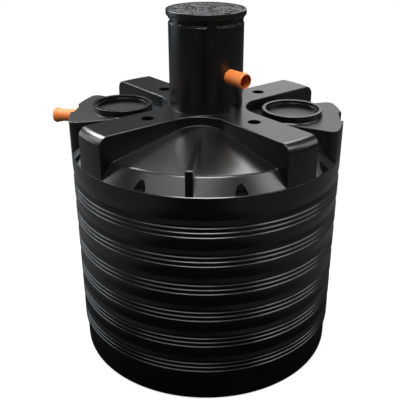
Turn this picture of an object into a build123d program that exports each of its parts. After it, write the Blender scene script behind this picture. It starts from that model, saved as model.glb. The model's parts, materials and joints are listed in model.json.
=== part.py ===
from build123d import *
import os
from math import cos, radians, sin, sqrt

os.makedirs("parts", exist_ok=True)

# Driving dimensions of the tank body, in millimetres
tank_radius = 1200.0
wall = 12.0
ring_wall = 24.0
floor_thickness = 22.0
base_height = 200.0
base_inset = 16.0
base_edge_radius = 34.0
hoop_count = 6
hoop_pitch = 257.0
notch_depth = 9.0
notch_rise = 35.0
notch_slope = 70.0
groove_count = 3
groove_spacing = 41.0
groove_width = 18.0
groove_floor_width = 9.0
groove_depth = 9.0
groove_drop = 104.0
shoulder_band = 198.0

# Driving dimensions of the roof
edge_width = 108.0
edge_rise = 128.0
cone_rise = 154.0
roof_drop = 16.0

# Driving dimensions of the four arms and their hub
arm_count = 4
arm_first_angle = 45.0
arm_half_width = 165.0
arm_rise = 70.0
arm_end_radius = 85.0
arm_edge_radius = 8.0
hub_fillet_radius = 290.0
hub_overrun = 5.0
hole_radius = 55.0
hole_depth = 92.0
hole_distance = 625.0

# Driving dimensions of the pipe platforms and their round upstands
platform_rise = 156.0
platform_edge_radius = 8.0
platform_corner_radius = 60.0
flat_inset = 30.0
flat_half_width = 118.0
upstand_distance = 755.0
upstand_outer_radius = 262.0
upstand_inner_radius = 227.0
upstand_height = 60.0
upstand_edge_radius = 5.0

# Driving dimensions of the gussets and of the pockets in the roof edge
gusset_half_width = 29.0
gusset_rise = 94.0
gusset_length = 780.0
gusset_end_radius = 16.0
gusset_edge_radius = 5.0
pocket_radius = 50.0
pocket_inset = 17.0
pocket_angles = (19.2, 60.5)

# Driving dimensions of the access shaft and of its cover
riser_radius = 320.0
riser_height = 708.0
riser_foot = 20.0
neck_inset = 8.0
shoulder_rise = 8.0
neck_height = 76.0
slot_count = 6
slot_first_angle = -45.0
slot_span = 48.0
slot_lift = 4.0
slot_height = 38.0
slot_depth = 9.0
slot_backing = 10.0
frame_overhang = 26.0
frame_height = 36.0
frame_edge = 6.0
frame_lip = 20.0
cover_gap = 1.5
cover_lift_gap = 0.5
cover_sink = 2.0
cover_pit_radius = 15.0
cover_pit_depth = 6.0
cover_pits = ((-110.0, 25.0), (-70.0, -35.0), (-35.0, 90.0), (120.0, 110.0))
seat_width = 22.0
seat_thickness = 10.0
lug_angle = -52.0
lug_width = 46.0
lug_length = 34.0
lug_height = 7.0
lug_corner = 6.0

# Driving dimensions of the two pipe connections
pipe_radius = 55.0
pipe_wall = 3.2
socket_radius = 67.0
socket_length = 62.0
socket_clearance = 0.5
socket_taper = 8.0
pipe_tail = 18.0
inlet_drop = 74.0
inlet_length = 217.0
outlet_rise = 312.0
outlet_length = 192.0
outlet_angle = -45.0
seal_thickness = 7.0
seal_reach = 8.0
seal_curve = 6.0

# Heights and radii that follow from the driving dimensions
ring_inner = tank_radius - ring_wall
hoops_top = base_height + hoop_count * hoop_pitch
rim_height = hoops_top + shoulder_band
split_height = rim_height - wall
crease_radius = tank_radius - edge_width
crease_height = rim_height + edge_rise
apex_height = crease_height + cone_rise
arm_height = apex_height + arm_rise
platform_height = crease_height + platform_rise
gusset_height = crease_height + gusset_rise
riser_bore = riser_radius - wall
arm_start = arm_half_width + hub_fillet_radius + hub_overrun
neck_radius = riser_radius - neck_inset
neck_bore = neck_radius - slot_depth - slot_backing
shoulder_height = arm_height + riser_height
neck_top = shoulder_height + shoulder_rise + neck_height
slot_bottom = shoulder_height + shoulder_rise + slot_lift
frame_radius = neck_radius + frame_overhang
frame_top = neck_top + frame_height
cover_radius = frame_radius - frame_lip - cover_gap
cover_bottom = neck_top + seat_thickness + cover_lift_gap
cover_top = frame_top - cover_sink
inlet_origin = (0.0, 0.0, platform_height - inlet_drop)
inlet_direction = (-1.0, 0.0, 0.0)
inlet_face = tank_radius - flat_inset
outlet_origin = (0.0, 0.0, arm_height + outlet_rise)
outlet_direction = (cos(radians(outlet_angle)), sin(radians(outlet_angle)), 0.0)
low = split_height
high = arm_height + wall
far = tank_radius + ring_wall


def save(piece, name):
    """Label a finished piece and write it to its own file."""
    piece.part.label = name
    export_step(piece.part, f"parts/{name}.step")


# Space taken by the roof, from its upper face downwards
with BuildPart() as roof_space:
    with BuildSketch(Plane.XZ):
        with BuildLine():
            Polyline(
                (0.0, low),
                (tank_radius, low),
                (tank_radius, rim_height),
                (crease_radius, crease_height),
                (riser_radius, apex_height),
                (0.0, apex_height),
                close=True,
            )
        make_face()
    revolve(axis=Axis.Z)

# Base with the floor and the plain band above it
band_radius = tank_radius - base_inset
with BuildPart() as base:
    with BuildSketch(Plane.XZ):
        with BuildLine():
            Polyline(
                (0.0, floor_thickness),
                (0.0, 0.0),
                (band_radius - base_edge_radius, 0.0),
            )
            RadiusArc(
                (band_radius - base_edge_radius, 0.0),
                (band_radius, base_edge_radius),
                -base_edge_radius,
            )
            Polyline(
                (band_radius, base_edge_radius),
                (band_radius, base_height),
                (ring_inner, base_height),
                (ring_inner, floor_thickness),
                (0.0, floor_thickness),
            )
        make_face()
    revolve(axis=Axis.Z)
save(base, "base")


def hoop_points(bottom, lower_depth):
    """Outline of one hoop of the wall, from its lower notch to its upper one, with its grooves."""
    top = bottom + hoop_pitch
    points = [(ring_inner, bottom), (tank_radius - lower_depth, bottom)]
    points.append((tank_radius, bottom + notch_slope))
    first = top - groove_drop - groove_spacing * (groove_count - 1) / 2
    for index in range(groove_count):
        centre = first + index * groove_spacing
        points.append((tank_radius, centre - groove_width / 2))
        points.append((tank_radius - groove_depth, centre - groove_floor_width / 2))
        points.append((tank_radius - groove_depth, centre + groove_floor_width / 2))
        points.append((tank_radius, centre + groove_width / 2))
    points.append((tank_radius, top - notch_rise))
    points.append((tank_radius - notch_depth, top))
    points.append((ring_inner, top))
    return points


# Wall hoops, each a ring between two notches
for number in range(hoop_count):
    hoop_bottom = base_height + number * hoop_pitch
    hoop_lower_depth = base_inset if number == 0 else notch_depth
    with BuildPart() as hoop:
        with BuildSketch(Plane.XZ):
            with BuildLine():
                Polyline(*hoop_points(hoop_bottom, hoop_lower_depth), close=True)
            make_face()
        revolve(axis=Axis.Z)
    save(hoop, f"hoop_{number + 1}")

# Plain shoulder ring between the top notch and the roof edge
with BuildPart() as shoulder:
    with BuildSketch(Plane.XZ):
        with BuildLine():
            Polyline(
                (ring_inner, hoops_top),
                (tank_radius - notch_depth, hoops_top),
                (tank_radius, hoops_top + notch_slope),
                (tank_radius, split_height),
                (ring_inner, split_height),
                close=True,
            )
        make_face()
    revolve(axis=Axis.Z)
save(shoulder, "shoulder_ring")

# Places of the half-round pockets, on both sides of the front and of the back
pocket_distance = tank_radius - pocket_inset
pocket_centres = []
for middle in (-90.0, 90.0):
    for pocket_angle in pocket_angles:
        for side in (-1.0, 1.0):
            spot = radians(middle + side * pocket_angle)
            pocket_centres.append((pocket_distance * cos(spot), pocket_distance * sin(spot)))

# Sloping roof edge with its pockets
with BuildPart() as roof_edge:
    with BuildSketch(Plane.XZ):
        with BuildLine():
            Polyline(
                (ring_inner, split_height),
                (tank_radius, split_height),
                (tank_radius, rim_height),
                (crease_radius, crease_height),
                (crease_radius, crease_height - roof_drop),
                close=True,
            )
        make_face()
    revolve(axis=Axis.Z)
    with BuildSketch(Plane.XY.offset(split_height)):
        with Locations(*pocket_centres):
            Circle(pocket_radius + wall)
    extrude(amount=crease_height - split_height)
    with BuildSketch(Plane.XZ):
        with BuildLine():
            Polyline(
                (tank_radius, split_height - wall),
                (tank_radius, rim_height),
                (crease_radius, crease_height),
                (crease_radius, high),
                (tank_radius + pocket_radius + wall, high),
                (tank_radius + pocket_radius + wall, split_height - wall),
                close=True,
            )
        make_face()
    revolve(axis=Axis.Z, mode=Mode.SUBTRACT)
    with BuildSketch(Plane.XY.offset(rim_height)):
        with Locations(*pocket_centres):
            Circle(pocket_radius)
    extrude(amount=high - rim_height, mode=Mode.SUBTRACT)
save(roof_edge, "roof_edge")

# Shallow cone of the roof, open over the access shaft
with BuildPart() as cone:
    with BuildSketch(Plane.XZ):
        with BuildLine():
            Polyline(
                (crease_radius, crease_height - roof_drop),
                (crease_radius, crease_height),
                (riser_radius, apex_height),
                (riser_bore, apex_height),
                (riser_bore, apex_height - roof_drop),
                (riser_radius, apex_height - roof_drop),
                close=True,
            )
        make_face()
    revolve(axis=Axis.Z)
save(cone, "roof_cone")


def round_block(radius, height, edge_radius):
    """Half profile of a round block whose upper edge is rounded."""
    with BuildSketch(Plane.XZ) as profile:
        with BuildLine():
            Polyline((0.0, height), (0.0, low), (radius, low), (radius, height - edge_radius))
            RadiusArc((radius, height - edge_radius), (radius - edge_radius, height), -edge_radius)
            Line((radius - edge_radius, height), (0.0, height))
        make_face()
    return profile.sketch


def upper_side_edges(edges, plane, half_width, height):
    """Edges along the two sides of a radial block, above a height."""
    chosen = []
    for edge in edges:
        middle = plane.to_local_coords(edge @ 0.5)
        ends = [plane.to_local_coords(edge @ place) for place in (0.0, 1.0)]
        on_side = all(abs(abs(point.Y) - half_width) < 0.01 for point in (*ends, middle))
        if on_side and min(edge.bounding_box().min.Z, (edge @ 0.5).Z) > height:
            chosen.append(edge)
    return chosen


# Arms from the hub to the wall, each with a blind hole from above
for number in range(arm_count):
    arm_angle = arm_first_angle + number * 360.0 / arm_count
    arm_plane = Plane.XY.rotated((0.0, 0.0, arm_angle)).offset(low)
    arm_middle = (arm_start + far) / 2
    with BuildPart() as arm_void:
        add(round_block(tank_radius - wall, arm_height - wall, arm_end_radius - wall))
        revolve(axis=Axis.Z)
        with BuildSketch(arm_plane):
            with Locations((arm_middle, 0.0)):
                Rectangle(far - arm_start, 2 * (arm_half_width - wall))
        extrude(amount=high - low, mode=Mode.INTERSECT)
    with BuildPart() as arm:
        add(round_block(tank_radius, arm_height, arm_end_radius))
        revolve(axis=Axis.Z)
        with BuildSketch(arm_plane):
            with Locations((arm_middle, 0.0)):
                Rectangle(far - arm_start, 2 * arm_half_width)
        extrude(amount=high - low, mode=Mode.INTERSECT)
        fillet(
            upper_side_edges(arm.edges(), arm_plane, arm_half_width, arm_height - arm_end_radius - 1.0),
            radius=arm_edge_radius,
        )
        add(arm_void.part, mode=Mode.SUBTRACT)
        with BuildSketch(arm_plane.offset(arm_height - low - hole_depth - wall)):
            with Locations((hole_distance, 0.0)):
                Circle(hole_radius + wall)
        extrude(amount=hole_depth)
        with BuildSketch(arm_plane.offset(arm_height - low - hole_depth)):
            with Locations((hole_distance, 0.0)):
                Circle(hole_radius)
        extrude(amount=hole_depth, mode=Mode.SUBTRACT)
        add(roof_space.part, mode=Mode.SUBTRACT)
    save(arm, f"arm_{number + 1}")


def hub_cross(half_width, fillet_radius):
    """Plan of the hub: two crossed bars with large hollow fillets between them."""
    with BuildSketch(Plane.XY.offset(low)) as plan:
        for turn in (arm_first_angle, arm_first_angle + 360.0 / arm_count):
            with Locations(Location((0.0, 0.0, 0.0), (0.0, 0.0, turn))):
                Rectangle(2 * arm_start, 2 * half_width)
        corners = plan.vertices().sort_by_distance((0.0, 0.0, low))[:4]
        fillet(corners, radius=fillet_radius)
    return plan.sketch


# Hub that joins the arms under the access shaft
with BuildPart() as hub:
    add(hub_cross(arm_half_width, hub_fillet_radius))
    extrude(amount=arm_height - low)
    hub_rim = [
        edge
        for edge in hub.edges().group_by(Axis.Z)[-1]
        if Vector((edge @ 0.5).X, (edge @ 0.5).Y, 0.0).length < arm_start - 1.0
    ]
    fillet(hub_rim, radius=arm_edge_radius)
    add(hub_cross(arm_half_width - wall, hub_fillet_radius + wall))
    extrude(amount=arm_height - wall - low, mode=Mode.SUBTRACT)
    with BuildSketch(Plane.XY.offset(low)):
        Circle(riser_bore)
    extrude(amount=high - low, mode=Mode.SUBTRACT)
    add(roof_space.part, mode=Mode.SUBTRACT)
save(hub, "hub")

# Gussets from the cone to the wall at the front and the back
gusset_start = tank_radius - gusset_length
gusset_middle = (gusset_start + far) / 2
for gusset_name, gusset_angle in (("gusset_front", -90.0), ("gusset_back", 90.0)):
    gusset_plane = Plane.XY.rotated((0.0, 0.0, gusset_angle)).offset(low)
    with BuildPart() as gusset_void:
        add(round_block(tank_radius - wall, gusset_height - wall, gusset_end_radius - wall))
        revolve(axis=Axis.Z)
        with BuildSketch(gusset_plane):
            with Locations((gusset_middle, 0.0)):
                Rectangle(far - gusset_start, 2 * (gusset_half_width - wall))
        extrude(amount=high - low, mode=Mode.INTERSECT)
    with BuildPart() as gusset:
        add(round_block(tank_radius, gusset_height, gusset_end_radius))
        revolve(axis=Axis.Z)
        with BuildSketch(gusset_plane):
            with Locations((gusset_middle, 0.0)):
                Rectangle(far - gusset_start, 2 * gusset_half_width)
        extrude(amount=high - low, mode=Mode.INTERSECT)
        fillet(
            upper_side_edges(
                gusset.edges(), gusset_plane, gusset_half_width, gusset_height - gusset_end_radius - 1.0
            ),
            radius=gusset_edge_radius,
        )
        add(gusset_void.part, mode=Mode.SUBTRACT)
        add(roof_space.part, mode=Mode.SUBTRACT)
    save(gusset, gusset_name)

# A platform's wedge is tangent to its round upstand
platform_round = upstand_outer_radius + platform_edge_radius
tangent_sine = platform_round / upstand_distance
tangent_cosine = sqrt(1.0 - tangent_sine**2)
tangent_distance = upstand_distance * tangent_cosine


def platform_plan(side, shrink):
    """Plan of a platform on the right (1) or the left (-1), drawn in by a distance."""
    start = (side * tangent_distance * tangent_cosine, tangent_distance * tangent_sine)
    end = (side * 2 * far * tangent_cosine, 2 * far * tangent_sine)
    with BuildSketch(Plane.XY.offset(low)) as plan:
        with BuildLine():
            Polyline(start, end, (end[0], -end[1]), (start[0], -start[1]), close=True)
        make_face()
        Circle(tank_radius, mode=Mode.INTERSECT)
        outer = plan.vertices().sort_by(Axis.X)
        outer = outer[-2:] if side > 0 else outer[:2]
        fillet(outer, radius=platform_corner_radius)
        with Locations((side * upstand_distance, 0.0)):
            Circle(platform_round)
        with Locations((side * (inlet_face + far) / 2, 0.0)):
            Rectangle(far - inlet_face, 2 * flat_half_width, mode=Mode.SUBTRACT)
        if shrink:
            offset(amount=-shrink)
    return plan.sketch


# Platforms that carry the round upstands, one of them with the inlet hole
for platform_name, side in (("platform_right", 1.0), ("platform_left", -1.0)):
    with BuildPart() as platform:
        add(platform_plan(side, 0.0))
        extrude(amount=platform_height - low)
        fillet(platform.edges().group_by(Axis.Z)[-1], radius=platform_edge_radius)
        add(platform_plan(side, wall))
        extrude(amount=platform_height - wall - low, mode=Mode.SUBTRACT)
        add(roof_space.part, mode=Mode.SUBTRACT)
        if side < 0:
            with BuildSketch(Plane.YZ.offset(-far)):
                with Locations((0.0, inlet_origin[2])):
                    Circle(pipe_radius + seal_thickness)
            extrude(amount=far - inlet_face + 2 * wall, mode=Mode.SUBTRACT)
    save(platform, platform_name)

# Round upstands on the platforms, closed below by the platform
for upstand_name, side in (("upstand_right", 1.0), ("upstand_left", -1.0)):
    with BuildPart() as upstand:
        with BuildSketch(Plane.XY.offset(platform_height)):
            with Locations((side * upstand_distance, 0.0)):
                Circle(upstand_outer_radius)
                Circle(upstand_inner_radius, mode=Mode.SUBTRACT)
        extrude(amount=upstand_height)
        fillet(upstand.edges().group_by(Axis.Z)[-1], radius=upstand_edge_radius)
    save(upstand, upstand_name)

# Access shaft with its foot, its shoulder and shallow slots round the neck
with BuildPart() as slot_cutter:
    with BuildSketch(Plane.XZ):
        with Locations((neck_radius, slot_bottom + slot_height / 2)):
            Rectangle(2 * slot_depth, slot_height)
    revolve(axis=Axis.Z, revolution_arc=slot_span)
with BuildPart() as riser:
    with BuildSketch(Plane.XZ):
        with BuildLine():
            Line((riser_bore, arm_height), (riser_radius + riser_foot, arm_height))
            RadiusArc(
                (riser_radius + riser_foot, arm_height), (riser_radius, arm_height + riser_foot), riser_foot
            )
            Polyline(
                (riser_radius, arm_height + riser_foot),
                (riser_radius, shoulder_height),
                (neck_radius, shoulder_height + shoulder_rise),
                (neck_radius, neck_top),
                (neck_bore, neck_top),
                (neck_bore, shoulder_height - wall),
                (riser_bore, shoulder_height - 2 * wall),
                (riser_bore, arm_height),
            )
        make_face()
    revolve(axis=Axis.Z)
    for number in range(slot_count):
        turn = slot_first_angle - slot_span / 2 + number * 360.0 / slot_count
        add(slot_cutter.part.rotate(Axis.Z, turn), mode=Mode.SUBTRACT)
    with BuildSketch(Plane(origin=outlet_origin, z_dir=outlet_direction)):
        Circle(pipe_radius + seal_thickness)
    extrude(amount=riser_radius + riser_foot, mode=Mode.SUBTRACT)
save(riser, "riser")

# Frame on top of the neck, with the seat for the cover
with BuildPart() as frame:
    with BuildSketch(Plane.XZ):
        with BuildLine():
            Polyline(
                (neck_radius - seat_width, neck_top),
                (frame_radius - frame_edge, neck_top),
                (frame_radius, neck_top + frame_edge),
                (frame_radius, frame_top - frame_edge),
                (frame_radius - frame_edge, frame_top),
                (cover_radius + cover_gap, frame_top),
                (cover_radius + cover_gap, neck_top + seat_thickness),
                (neck_radius - seat_width, neck_top + seat_thickness),
                close=True,
            )
        make_face()
    revolve(axis=Axis.Z)
save(frame, "cover_frame")

# Small lug on the frame beside the cover
with BuildPart() as lug:
    with BuildSketch(Plane.XY.rotated((0.0, 0.0, lug_angle)).offset(frame_top)):
        with Locations((frame_radius - frame_edge - lug_length / 2, 0.0)):
            RectangleRounded(lug_length, lug_width, lug_corner)
    extrude(amount=lug_height)
save(lug, "frame_lug")

# Lift-off cover, a plate with four small pits
with BuildPart() as cover:
    with BuildSketch(Plane.XY.offset(cover_bottom)):
        Circle(cover_radius)
    extrude(amount=cover_top - cover_bottom)
    with BuildSketch(Plane.XY.offset(cover_top - cover_pit_depth)):
        with Locations(*cover_pits):
            Circle(cover_pit_radius)
    extrude(amount=cover_pit_depth, mode=Mode.SUBTRACT)
save(cover, "cover")


def along(origin, direction):
    """Plane whose X is upward and whose Y runs along a level pipe."""
    upward = Vector(0.0, 0.0, 1.0)
    return Plane(origin=origin, x_dir=upward, z_dir=upward.cross(Vector(*direction)))


# Pipe connections, each a straight pipe with a socket at its end and a rubber seal in the wall
socket_mouth = pipe_radius + socket_clearance
pipe_bore = pipe_radius - pipe_wall
pipes = (
    ("inlet", inlet_origin, inlet_direction, inlet_face, inlet_length, 0.0),
    ("outlet", outlet_origin, outlet_direction, riser_radius, outlet_length, seal_curve),
)
for pipe_name, pipe_origin, pipe_direction, wall_face, length, curve in pipes:
    pipe_start = wall_face - wall - pipe_tail - curve
    socket_start = wall_face + length - socket_length
    socket_end = wall_face + length
    pipe_plane = along(pipe_origin, pipe_direction)
    pipe_axis = Axis(pipe_origin, pipe_direction)
    with BuildPart() as pipe:
        with BuildSketch(pipe_plane):
            with BuildLine():
                Polyline(
                    (pipe_bore, pipe_start),
                    (pipe_radius, pipe_start),
                    (pipe_radius, socket_start - socket_taper),
                    (socket_radius, socket_start),
                    (socket_radius, socket_end),
                    (socket_mouth, socket_end),
                    (socket_mouth, socket_start),
                    (pipe_bore, socket_start),
                    close=True,
                )
            make_face()
        revolve(axis=pipe_axis)
    save(pipe, f"{pipe_name}_pipe")

    with BuildPart() as seal:
        with BuildSketch(pipe_plane):
            with BuildLine():
                Polyline(
                    (pipe_radius, wall_face - wall - curve - seal_reach),
                    (pipe_radius + seal_thickness, wall_face - wall - curve - seal_reach),
                    (pipe_radius + seal_thickness, wall_face),
                    (pipe_radius, wall_face),
                    close=True,
                )
            make_face()
        revolve(axis=pipe_axis)
    save(seal, f"{pipe_name}_seal")
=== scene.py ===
"""Looks of an underground water tank: moulded black plastic, orange pipes and a soft studio."""

from __future__ import annotations

import json
import logging
import math
from dataclasses import dataclass, field, replace
from enum import Enum

import bpy
import numpy as np
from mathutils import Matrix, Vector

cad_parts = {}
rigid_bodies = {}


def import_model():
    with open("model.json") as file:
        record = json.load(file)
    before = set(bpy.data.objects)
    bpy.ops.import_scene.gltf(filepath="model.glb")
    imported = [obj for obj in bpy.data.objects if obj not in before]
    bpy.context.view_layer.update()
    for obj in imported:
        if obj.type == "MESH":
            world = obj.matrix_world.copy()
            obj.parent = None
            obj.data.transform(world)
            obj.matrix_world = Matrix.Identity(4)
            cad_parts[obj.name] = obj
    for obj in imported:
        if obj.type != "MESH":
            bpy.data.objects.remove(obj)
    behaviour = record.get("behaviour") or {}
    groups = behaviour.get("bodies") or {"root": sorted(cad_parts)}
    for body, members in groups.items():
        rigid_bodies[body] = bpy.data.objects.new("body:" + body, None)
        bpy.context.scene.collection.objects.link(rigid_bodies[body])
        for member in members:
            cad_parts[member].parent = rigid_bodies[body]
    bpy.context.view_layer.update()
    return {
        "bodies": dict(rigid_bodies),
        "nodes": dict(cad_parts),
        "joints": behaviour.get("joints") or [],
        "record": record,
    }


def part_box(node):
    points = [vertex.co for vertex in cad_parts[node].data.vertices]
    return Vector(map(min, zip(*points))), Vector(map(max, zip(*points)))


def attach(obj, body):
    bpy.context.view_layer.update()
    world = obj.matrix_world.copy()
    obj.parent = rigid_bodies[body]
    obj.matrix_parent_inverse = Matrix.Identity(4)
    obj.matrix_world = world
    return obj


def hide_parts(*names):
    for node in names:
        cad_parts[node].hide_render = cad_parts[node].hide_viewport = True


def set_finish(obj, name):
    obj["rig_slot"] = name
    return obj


LOG = logging.getLogger("water_tank")

Point = tuple[float, float, float]
Colour = tuple[float, float, float]

WHITE: Colour = (1.0, 1.0, 1.0)
# Places of the Mix node's factor and colours among its inputs, and of its colour output.
MIX_FACTOR, MIX_FIRST, MIX_SECOND, MIX_COLOUR = 0, 6, 7, 2
# Radius that stands for the axis itself, so that no face of a turned piece is empty.
ON_AXIS = 1e-5
# Largest share of a side that the rounding of one corner may take.
SIDE_SHARE = 0.49
# Edges that turn by more degrees than this are shaded sharp.
SHARP_ANGLE = 30.0


class Slot(Enum):
    """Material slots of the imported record."""

    TANK = "tank_plastic"
    FRAME = "frame_plastic"
    COVER = "cover_plastic"
    PIPE = "pipe_plastic"
    SEAL = "seal_rubber"


class Joined:
    """Socket of a shader tree that takes part in Python expressions."""

    def __init__(self, tree: "Tree", socket: bpy.types.NodeSocket) -> None:
        """Keep the tree and the socket.

        Args:
            tree: Tree that the socket belongs to.
            socket: Output socket that carries the value.
        """
        self.tree = tree
        self.socket = socket

    def _math(self, operation: str, first: object, second: object) -> "Joined":
        """Return the output of a Math node with two operands.

        Args:
            operation: Name of the Math operation.
            first: Left operand, a number or a socket.
            second: Right operand, a number or a socket.

        Returns:
            The wrapped result.
        """
        return self.tree.node("ShaderNodeMath", {"operation": operation}, {0: first, 1: second})

    def __add__(self, other: object) -> "Joined":
        """Return self plus other."""
        return self._math("ADD", self, other)

    def __radd__(self, other: object) -> "Joined":
        """Return other plus self."""
        return self._math("ADD", other, self)

    def __sub__(self, other: object) -> "Joined":
        """Return self minus other."""
        return self._math("SUBTRACT", self, other)

    def __rsub__(self, other: object) -> "Joined":
        """Return other minus self."""
        return self._math("SUBTRACT", other, self)

    def __mul__(self, other: object) -> "Joined":
        """Return self times other."""
        return self._math("MULTIPLY", self, other)

    def __rmul__(self, other: object) -> "Joined":
        """Return other times self."""
        return self._math("MULTIPLY", other, self)


class Tree:
    """Shader tree that makes nodes from their type, settings and inputs."""

    def __init__(self, tree: bpy.types.NodeTree) -> None:
        """Empty the tree.

        Args:
            tree: Node tree of a material or of the world.
        """
        self.tree = tree
        tree.nodes.clear()

    def node(
        self, kind: str, settings: dict | None = None, inputs: dict | None = None, out: object = 0
    ) -> Joined:
        """Make one node and return one of its outputs.

        Args:
            kind: Blender's name of the node type.
            settings: Attributes that are set before the sockets.
            inputs: Values or wrapped sockets by socket name or number.
            out: Name or number of the output.

        Returns:
            The wrapped output socket.
        """
        made = self.tree.nodes.new(kind)
        for name, value in (settings or {}).items():
            if name == "stops":
                self._stops(made.color_ramp, value)
            else:
                setattr(made, name, value)
        for name, value in (inputs or {}).items():
            if isinstance(value, Joined):
                self.tree.links.new(value.socket, made.inputs[name])
            else:
                made.inputs[name].default_value = value
        socket = made.outputs[out] if len(made.outputs) else None
        return Joined(self, socket)

    @staticmethod
    def _stops(ramp: bpy.types.ColorRamp, stops: list[tuple[float, float]]) -> None:
        """Set the grey stops of a colour ramp.

        Args:
            ramp: Ramp of a Color Ramp node.
            stops: Pairs of position and grey value.
        """
        while len(ramp.elements) < len(stops):
            ramp.elements.new(0.5)
        for element, (place, grey) in zip(ramp.elements, stops):
            element.position = place
            element.color = (grey, grey, grey, 1.0)

    def place(self) -> Joined:
        """Return the object coordinates of the shaded point."""
        return self.node("ShaderNodeTexCoord", out="Object")

    def aside(self) -> Joined:
        """Return the object's x place."""
        return self.node("ShaderNodeSeparateXYZ", {}, {0: self.place()}, out="X")

    def noise(self, scale: float, detail: float = 3.0, stretch: Point = (1.0, 1.0, 1.0)) -> Joined:
        """Return smooth noise on object coordinates.

        Args:
            scale: Cycles per metre.
            detail: Octaves of the noise.
            stretch: Factors on the three coordinates.

        Returns:
            The wrapped noise value from 0 to 1.
        """
        spread = self.node("ShaderNodeMapping", {}, {"Vector": self.place(), "Scale": stretch})
        return self.node("ShaderNodeTexNoise", {}, {"Vector": spread, "Scale": scale, "Detail": detail})

    def ramp(self, value: Joined, stops: list[tuple[float, float]]) -> Joined:
        """Return a value remapped by a grey ramp.

        Args:
            value: Wrapped input from 0 to 1.
            stops: Pairs of position and grey value.

        Returns:
            The wrapped output.
        """
        return self.node("ShaderNodeValToRGB", {"stops": stops}, {"Fac": value})

    def mix(self, factor: Joined, first: Colour, second: Colour) -> Joined:
        """Return a colour between two colours.

        Args:
            factor: Wrapped share of the second colour.
            first: Colour at factor 0.
            second: Colour at factor 1.

        Returns:
            The wrapped colour.
        """
        inputs = {MIX_FACTOR: factor, MIX_FIRST: (*first, 1.0), MIX_SECOND: (*second, 1.0)}
        return self.node("ShaderNodeMix", {"data_type": "RGBA"}, inputs, out=MIX_COLOUR)

    def fade(self, value: Joined, low: float, high: float) -> Joined:
        """Return a smooth step of a value, 0 below low and 1 above high.

        Args:
            value: Wrapped value.
            low: Value where the step starts.
            high: Value where the step ends.

        Returns:
            The wrapped step from 0 to 1.
        """
        inputs = {"Value": value, "From Min": low, "From Max": high}
        return self.node("ShaderNodeMapRange", {"interpolation_type": "SMOOTHSTEP"}, inputs)

    def finish(self, inputs: dict) -> None:
        """Put a Principled shader with these inputs on the material's output."""
        surface = self.node("ShaderNodeBsdfPrincipled", {}, inputs)
        self.node("ShaderNodeOutputMaterial", {}, {"Surface": surface})

    def matt(self, grey: float) -> Joined:
        """Return a matt grey shader."""
        return self.node("ShaderNodeBsdfDiffuse", {}, {"Color": (grey, grey, grey, 1.0)})

    def glow(self, kind: str, strength: float) -> Joined:
        """Return a white Emission or Background shader of a strength."""
        return self.node(kind, {}, {"Color": (*WHITE, 1.0), "Strength": strength})

    def blend(self, factor: Joined, first: Joined, second: Joined) -> Joined:
        """Return a shader between two shaders."""
        return self.node("ShaderNodeMixShader", {}, {0: factor, 1: first, 2: second})


def new_material(name: str) -> tuple[bpy.types.Material, Tree]:
    """Make a material whose shader tree is empty.

    Args:
        name: Name of the material.

    Returns:
        The material and its tree.
    """
    material = bpy.data.materials.new(name)
    material.use_nodes = True
    return material, Tree(material.node_tree)


@dataclass(frozen=True)
class MouldedPlastic:
    """Glossy moulded plastic with a fine grain and gentle waves in its skin."""

    name: str
    base: Colour
    worn: Colour
    roughness: float
    spread: float
    ior: float = 1.6
    cloud_scale: float = 2.2
    dust_scale: float = 38.0
    cloud_share: float = 0.65
    worn_from: float = 0.38
    worn_to: float = 0.66
    grain_scale: float = 420.0
    grain_height: float = 0.000015
    wave_scale: float = 6.0
    wave_height: float = 0.001
    edge_radius: float = 0.0
    edge_samples: int = 6

    def make(self) -> bpy.types.Material:
        """Return the material.

        Returns:
            The new material, with its varying colour, roughness and skin.
        """
        material, tree = new_material(self.name)
        cloud = tree.noise(self.cloud_scale, 4.0)
        dust = tree.noise(self.dust_scale, 3.0)
        share = self.cloud_share * cloud + (1.0 - self.cloud_share) * dust
        share = tree.ramp(share, [(self.worn_from, 0.0), (self.worn_to, 1.0)])
        rough = self.roughness + self.spread * (cloud - 0.5) + 0.5 * self.spread * (dust - 0.5)
        grain = self.grain_height * tree.noise(self.grain_scale, 2.0)
        relief = grain + self.wave_height * tree.noise(self.wave_scale, 1.0)
        bump_inputs = {"Strength": 1.0, "Distance": 1.0, "Height": relief}
        if self.edge_radius > 0.0:
            bevel = {"samples": self.edge_samples}
            bump_inputs["Normal"] = tree.node("ShaderNodeBevel", bevel, {"Radius": self.edge_radius})
        skin = tree.node("ShaderNodeBump", {}, bump_inputs)
        colour = tree.mix(share, self.base, self.worn)
        tree.finish({"Base Color": colour, "Roughness": rough, "IOR": self.ior, "Normal": skin})
        return material


@dataclass(frozen=True)
class MottledCover:
    """Rough moulded cover whose raised grain shows as grey mottling."""

    name: str
    low: Colour
    high: Colour
    roughness: float
    spread: float = 0.2
    ior: float = 1.15
    grain_scale: float = 48.0
    patch_scale: float = 15.0
    grain_share: float = 0.65
    high_from: float = 0.43
    high_to: float = 0.58
    relief: float = 0.002
    relief_strength: float = 0.6

    def make(self) -> bpy.types.Material:
        """Return the material.

        Returns:
            The new material, with grain in its colour, roughness and relief.
        """
        material, tree = new_material(self.name)
        grain = tree.noise(self.grain_scale, 4.0)
        patch = tree.noise(self.patch_scale, 2.0)
        share = self.grain_share * grain + (1.0 - self.grain_share) * patch
        share = tree.ramp(share, [(self.high_from, 0.0), (self.high_to, 1.0)])
        relief = {"Strength": self.relief_strength, "Distance": self.relief, "Height": grain}
        bump = tree.node("ShaderNodeBump", {}, relief)
        colour = tree.mix(share, self.low, self.high)
        rough = self.roughness + self.spread * (patch - 0.5)
        tree.finish({"Base Color": colour, "Roughness": rough, "IOR": self.ior, "Normal": bump})
        return material


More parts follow.
